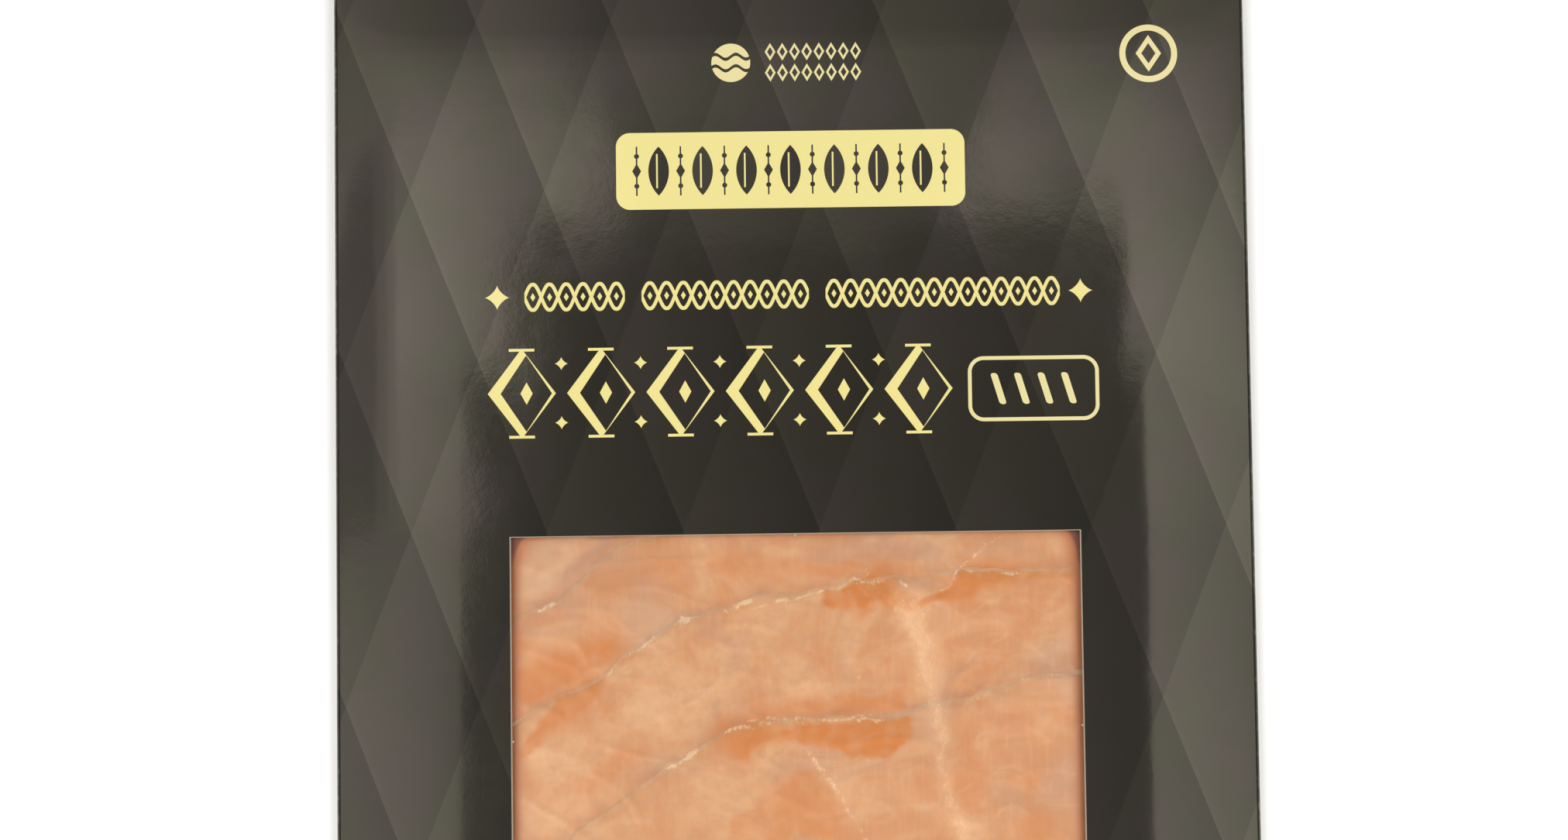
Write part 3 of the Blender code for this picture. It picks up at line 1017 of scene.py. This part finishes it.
def fleshFinish():
    meat = Finish("smoked_flesh", **flesh["glow"])
    places, start = meat.places, meat.start
    names = ("brown", "pale", "seam", "grey", "rim", "shade", "zigzag", "windowShade")
    brown, pale, seam, grey, rim, shade, zigzag, windowShade = [start.attribute(name) for name in names]
    cloud = places.grain(60, 4, 0.62, 0.5)
    drift = places.stretched(0.8, 1.3, 1).grain(38, 3, 0.55, 0.8)
    veils = places.stretched(0.75, 1.4, 1).grain(85, 4, 0.55, 0.9)
    mottle = places.grain(420, 4, 0.65, 0.4)
    fibres = places.stretched(1, 0.13, 1).grain(1100, 2, 0.6)
    colour = cloud.between(0.38, 0.6).blend(flesh["tan"], flesh["orange"])
    colour = (0.75 * drift.between(0.5, 0.68)).blend(colour, flesh["dusky"])
    colour = (0.5 * mottle.between(0.4, 0.66)).blend(colour, flesh["pink"])
    colour = (0.3 * fibres.between(0.45, 0.75)).blend(colour, flesh["tan"])
    colour = (0.18 * veils.between(0.48, 0.7)).blend(colour, flesh["pale"])
    stained = (brown * (0.55 + 0.9 * mottle)).least(1)
    colour = stained.blend(colour, flesh["brown"])
    colour = (0.7 * grey).blend(colour, flesh["grey"])
    # painted shade past the head edges, before the next slice and in the crease under it
    colour = (0.4 * shade).blend(colour, flesh["shade"])

    # the pale lines and the slices' head edges, frayed
    torn = places.stretched(1, 0.55, 1).grain(2000, 3, 0.75, 0.8)
    frayed = (0.62 * rim + 1.3 * torn - 0.98).between(0, 0.35)
    lines = (0.7 * pale + 1.1 * torn - 0.76).between(0, 0.5)
    flaky = 0.6 * seam.between(0.05, 0.45) * torn.between(0.5, 0.64)
    lines = (0.8 * lines).most(0.7 * frayed).most(0.17 * zigzag).most(flaky)
    lines = lines.most(seam * (0.25 + 0.85 * torn))
    colour = lines.blend(colour, flesh["pale"])

    # painted shade under the card's window edge, darkest in its corners
    colour = windowShade.between(0.03, 0.75).blend(colour, flesh["shade"])
    colour = windowShade.between(0.68, 1.0).blend(colour, flesh["cornerShade"])
    meat.feed(Base_Color=colour, Roughness=0.36 + 0.2 * cloud - 0.08 * brown)
    meat.bump(0.04 * places.grain(700, 1) + 0.04 * pale)
    return meat


meat = fleshFinish()
for number in range(len(headEdges) - 1):
    item = makeSlice(number, meat)
    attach(item, "root")
    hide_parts(f"salmon_slice_{number + 1}")
print("slices laid")


# The vacuum pouch's film, drawn down over the slices
pouch = {
    "seal": 9 * mm,
    "ease": 4 * mm,
    "sealThick": 1.0 * mm,
    "filled": 6.8 * mm,      # the top of its head part, behind the card
    "above": 0.14 * mm,      # over the slices' tops
    "highest": 0.9 * mm,     # over the plain pouch
    "steps": (0.42 * mm, 2.4 * mm),   # fine where it shows, coarse behind the card
    "bridging": 2,           # how often its height is evened out
    "wrinkle": 0.10 * mm,
    "wrinkleSize": 7 * mm,
    "pucker": 0.09 * mm,     # fine folds along the head edges
    "puckerSize": 1.5 * mm,
    "puckerReach": 2.4 * mm,
    "ior": 1.33,
    "roughness": 0.22,
    "bump": 0.02 * mm,
}


def contentsTop(x, y):
    top = np.full(x.shape, slices["bed"])
    for number in range(len(headEdges) - 1):
        near, far = headEdge(number, x[0]), headEdge(number + 1, x[0])
        step = (near - y) / (near - far)
        full = slicesLevel(x, y) + edgeHeight(number, x[0]) * (1 - step)
        inSlice = (step > -0.1 * mm / (near - far)) & (step < 1) & (np.abs(x) < slices["halfWidth"])
        top = np.where(inSlice, np.maximum(top, full), top)
    return top


def evened(height):
    wide = np.pad(height, 1, mode="edge")
    rows, columns = height.shape
    parts = [wide[j:j + rows, i:i + columns] for j in range(3) for i in range(3)]
    return sum(parts) / len(parts)


def makeFilm(finish):
    low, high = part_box("vacuum_pouch")
    margin = window["margin"]
    shown = window["width"] / 2 + margin
    foot, head = window["foot"] - margin, window["head"] + margin
    xs = fineBetween(low.x, -shown, shown, high.x, pouch["steps"])
    ys = fineBetween(low.y, foot, head, high.y, pouch["steps"])
    x, y = np.meshgrid(xs, ys)
    fromSeal = np.minimum(high.x - np.abs(x), high.y - np.abs(y)) - pouch["seal"]
    sealTop = low.z + pouch["sealThick"]
    filled = smooth((y - headEdges[0][-1][1] * mm) / pouch["ease"])
    filled = slices["under"] + (pouch["filled"] - slices["under"]) * filled
    least = np.maximum(filled, contentsTop(x, y) + pouch["above"])
    least = sealTop + (least - sealTop) * smooth((fromSeal + 1 * mm) / pouch["ease"])
    height = least
    for _ in range(pouch["bridging"]):
        height = np.maximum(least, evened(height))
    crease = 1 - np.abs(ripples(x * 0.5 + y * 0.2, y * 1.1, pouch["wrinkleSize"], 21.9))
    inner = range(1, len(headEdges) - 1)
    toEdge = np.min([np.abs(y - headEdge(number, x[0])) for number in inner], axis=0)
    nearEdge = np.exp(-(toEdge / pouch["puckerReach"]) ** 2)
    folds = ripples(x * 1.3 + y * 0.6, y * 0.55 - x * 0.3, pouch["puckerSize"], 40.2)
    pucker = np.abs(folds) * (patches(x, y, 8 * mm, 44.6, 0.4, 1) * nearEdge)
    height = height + pouch["pucker"] * pucker
    wrinkle = pouch["wrinkle"] * np.clip(crease, 0, 1) ** 7
    height = height + wrinkle * smooth(fromSeal / pouch["ease"])
    height = np.minimum(height, high.z + pouch["highest"])
    top = np.stack([x.ravel(), y.ravel(), height.ravel()], axis=1)
    rows, columns = x.shape
    faces = grid(rows, columns)
    rim = [j * columns + i for j, i in around(0, rows - 1, 0, columns - 1)]
    bottom = top[rim]
    bottom[:, 2] = low.z
    for k, place in enumerate(rim):
        after = (k + 1) % len(rim)
        faces.append((len(top) + k, len(top) + after, rim[after], place))
    faces.append(tuple(range(len(top) + len(rim) - 1, len(top) - 1, -1)))
    return newPiece("pouch_film", np.concatenate([top, bottom]), faces, [finish])


def filmFinish():
    film = Finish("clear_film")
    film.tree.nodes.remove(film.shader)
    start = film.start
    inputs = {"Height": film.places.grain(220, 2), "Distance": pouch["bump"]}
    wrinkled = start.node("ShaderNodeBump", None, inputs)
    inputs = {"Color": (1, 1, 1, 1), "Roughness": pouch["roughness"], "Normal": wrinkled}
    gloss = start.node("ShaderNodeBsdfGlossy", None, inputs)
    clear = start.node("ShaderNodeBsdfTransparent")
    fresnel = start.node("ShaderNodeFresnel", None, {"IOR": pouch["ior"]})
    mixed = start.node("ShaderNodeMixShader", None, {0: fresnel, 1: clear, 2: gloss})
    output = film.tree.nodes["Material Output"]
    film.tree.links.new(mixed.socket, output.inputs["Surface"])
    return film


film = makeFilm(filmFinish())
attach(film, "root")
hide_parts("vacuum_pouch")
print("film drawn down")


ground = {
    "width": 3.0,
    "below": 0.05 * mm,
    "colour": (0.86, 0.86, 0.855, 1),
    "roughness": 0.8,
}


def addFloor():
    half, z = ground["width"] / 2, -ground["below"]
    corners = [(-half, -half, z), (half, -half, z), (half, half, z), (-half, half, z)]
    finish = Finish("pale_floor", Base_Color=ground["colour"], Roughness=ground["roughness"])
    newPiece("floor", corners, [(0, 1, 2, 3)], [finish])


addFloor()
print("floor laid")
